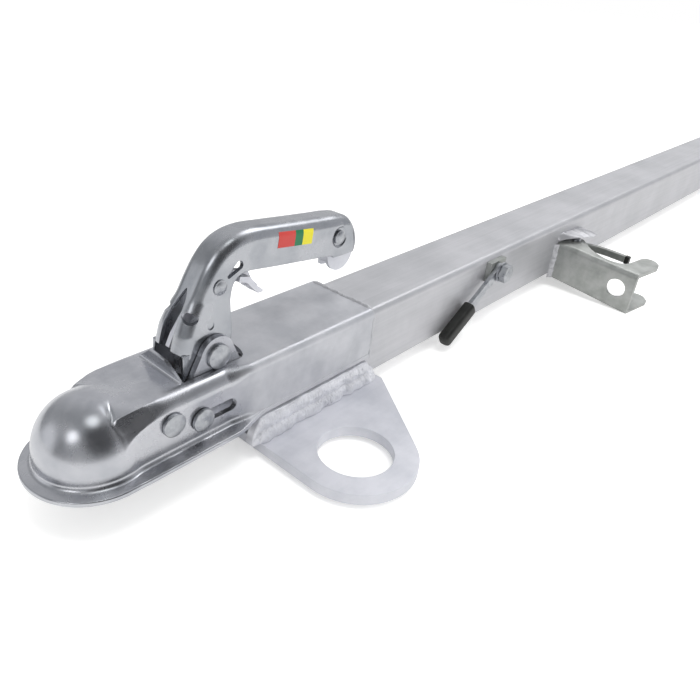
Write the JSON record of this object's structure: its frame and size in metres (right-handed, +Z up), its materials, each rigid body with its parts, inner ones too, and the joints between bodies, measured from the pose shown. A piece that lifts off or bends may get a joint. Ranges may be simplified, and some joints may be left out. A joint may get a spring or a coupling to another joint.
{
  "type": "trailer drawbar",
  "caption": "Square-tube trailer drawbar with pressed ball coupling and lifting handle, side eye plate, clamp bracket for a support leg and a small side lever.",
  "frame": {"origin": "centre of the coupling ball", "axes": "+X rearward along the tube, +Z up, the eye plate, clamp bracket and lever on the -Y side"},
  "size_m": [1.153, 0.143, 0.1291],
  "materials": {
    "galvanised_tube": "satin",
    "zinc_housing": "satin",
    "galvanised_weld": "rough",
    "zinc_plate": "satin",
    "zinc_sheet": "satin",
    "zinc_pins": "semi gloss",
    "galvanised_bracket": "satin",
    "zinc_handle": "semi gloss",
    "spring_steel": "oiled",
    "lock_steel": "satin",
    "label_film": "satin",
    "black_plastic": "satin"
  },
  "bodies": {
    "frame": {"drawbar_tube": "galvanised_tube", "coupling_housing": "zinc_housing", "sleeve_weld": "galvanised_weld", "eye_plate": "zinc_plate", "eye_plate_weld": "galvanised_weld", "handle_bracket": "zinc_sheet", "jaw_pin": "zinc_pins", "handle_pin": "zinc_pins", "lock_spring": "spring_steel", "clamp_bracket": "galvanised_bracket", "bracket_weld": "galvanised_weld", "strap_pin": "zinc_pins", "lever_pad": "zinc_sheet", "lever_bolt": "zinc_pins", "lever_washer": "zinc_pins", "lever_nut": "zinc_pins"},
    "handle": {"coupling_handle": "zinc_handle", "handle_end_plate": "zinc_sheet", "end_rivet": "zinc_pins", "handle_label": "label_film", "trigger_pin": "zinc_pins", "trigger_spring": "spring_steel"},
    "trigger": {"trigger": "zinc_sheet"},
    "slide": {"lock_slide": "lock_steel", "slide_pin": "zinc_pins"},
    "jaw": {"locking_jaw": "lock_steel"},
    "strap": {"clamp_strap": "galvanised_bracket", "strap_tip": "black_plastic"},
    "lever": {"side_lever": "zinc_pins", "lever_grip": "black_plastic"}
  },
  "joints": [
    {"name": "handle_lift", "type": "hinge", "parent": "frame", "child": "handle", "pos_m": [0.0655, 0, 0.0325], "axis": [0, -1, 0], "range_deg": [0, 35], "stiffness_Nm_per_rad": 0.6, "springref_deg": -17.19},
    {"name": "trigger_pull", "type": "hinge", "parent": "handle", "child": "trigger", "pos_m": [0.0724, 0, 0.0668], "axis": [0, -1, 0], "range_deg": [0, 12], "stiffness_Nm_per_rad": 0.05, "springref_deg": -11.46},
    {"name": "slide_travel", "type": "slide", "parent": "frame", "child": "slide", "axis": [1, 0, 0], "range_m": [0, 0.0151], "deforming": ["lock_spring"]},
    {"name": "jaw_swing", "type": "hinge", "parent": "frame", "child": "jaw", "pos_m": [0.0295, 0, 0.012], "axis": [0, -1, 0], "range_deg": [0, 20.1]},
    {"name": "strap_swing", "type": "hinge", "parent": "frame", "child": "strap", "pos_m": [0.4773, -0.0325, -0.003], "axis": [0, 0, 1], "range_deg": [0, 50]},
    {"name": "lever_turn", "type": "hinge", "parent": "frame", "child": "lever", "pos_m": [0.336, -0.029, 0.011], "axis": [0, 1, 0], "range_deg": [-25, 85]}
  ],
  "couplings": [
    {"joint": "slide_travel", "follows": "handle_lift", "m_per_rad": 0.024555},
    {"joint": "jaw_swing", "follows": "handle_lift", "ratio": 0.5714}
  ]
}
